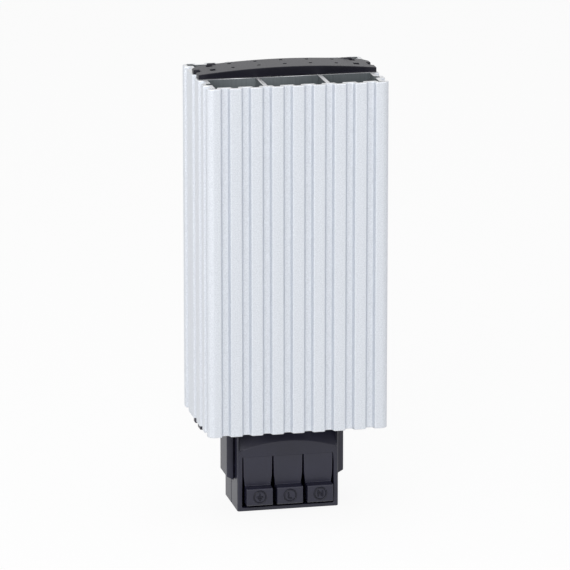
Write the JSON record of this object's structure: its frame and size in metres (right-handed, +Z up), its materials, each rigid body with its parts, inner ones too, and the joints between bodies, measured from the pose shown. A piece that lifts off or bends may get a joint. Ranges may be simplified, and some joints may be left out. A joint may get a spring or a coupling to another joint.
{
  "type": "enclosure heater",
  "caption": "Self-limiting enclosure heater: corrugated aluminium chimney profile with a black end cap, a spring-clamp connection box with press levers and a rail clip on its back.",
  "frame": {"origin": "middle of the rail seat: on the plane of the profile's rear lands, at the height of the rail's centre line", "axes": "+Z up along the profile, +Y out of the back towards the rail, the front faces -Y"},
  "size_m": [0.07, 0.0544, 0.1742],
  "materials": {
    "anodised_aluminium": "matte natural anodised extrusion",
    "black_plastic": "fine spark texture",
    "lever_plastic": "satin moulded",
    "spring_steel": "bright rolled",
    "contact_brass": "stamped",
    "heating_ceramic": "sintered",
    "frame_plastic": "moulded",
    "bare_aluminium": "rolled",
    "amber_film": "glossy film",
    "live_sheath": "matte sheath",
    "neutral_sheath": "matte sheath",
    "zinc_steel": "bright zinc"
  },
  "bodies": {
    "heater": {"heatsink_profile": "anodised_aluminium", "top_cap": "black_plastic", "connector_housing": "black_plastic", "front_cover": "black_plastic", "clamp_spring_earth": "spring_steel", "clamp_spring_live": "spring_steel", "clamp_spring_neutral": "spring_steel", "contact_bar_earth": "contact_brass", "contact_bar_live": "contact_brass", "contact_bar_neutral": "contact_brass", "ptc_tablet_1": "heating_ceramic", "ptc_tablet_2": "heating_ceramic", "ptc_tablet_3": "heating_ceramic", "ptc_tablet_4": "heating_ceramic", "tablet_frame": "frame_plastic", "front_electrode": "bare_aluminium", "rear_electrode": "bare_aluminium", "insulating_sleeve": "amber_film", "pressure_bar": "bare_aluminium", "leaf_spring": "spring_steel", "live_lead": "live_sheath", "neutral_lead": "neutral_sheath", "flange_screws": "zinc_steel", "din_clip": "zinc_steel", "clip_screws": "zinc_steel"},
    "lever_earth": {"press_lever_earth": "lever_plastic"},
    "lever_live": {"press_lever_live": "lever_plastic"},
    "lever_neutral": {"press_lever_neutral": "lever_plastic"}
  },
  "joints": [
    {"name": "press_earth", "type": "hinge", "parent": "heater", "child": "lever_earth", "pos_m": [-0.0119, -0.031, -0.08155], "axis": [1, 0, 0], "range_deg": [0, 6], "stiffness_Nm_per_rad": 0.8, "deforming": ["clamp_spring_earth"]},
    {"name": "press_live", "type": "hinge", "parent": "heater", "child": "lever_live", "pos_m": [0, -0.031, -0.08155], "axis": [1, 0, 0], "range_deg": [0, 6], "stiffness_Nm_per_rad": 0.8, "deforming": ["clamp_spring_live"]},
    {"name": "press_neutral", "type": "hinge", "parent": "heater", "child": "lever_neutral", "pos_m": [0.0119, -0.031, -0.08155], "axis": [1, 0, 0], "range_deg": [0, 6], "stiffness_Nm_per_rad": 0.8, "deforming": ["clamp_spring_neutral"]}
  ]
}
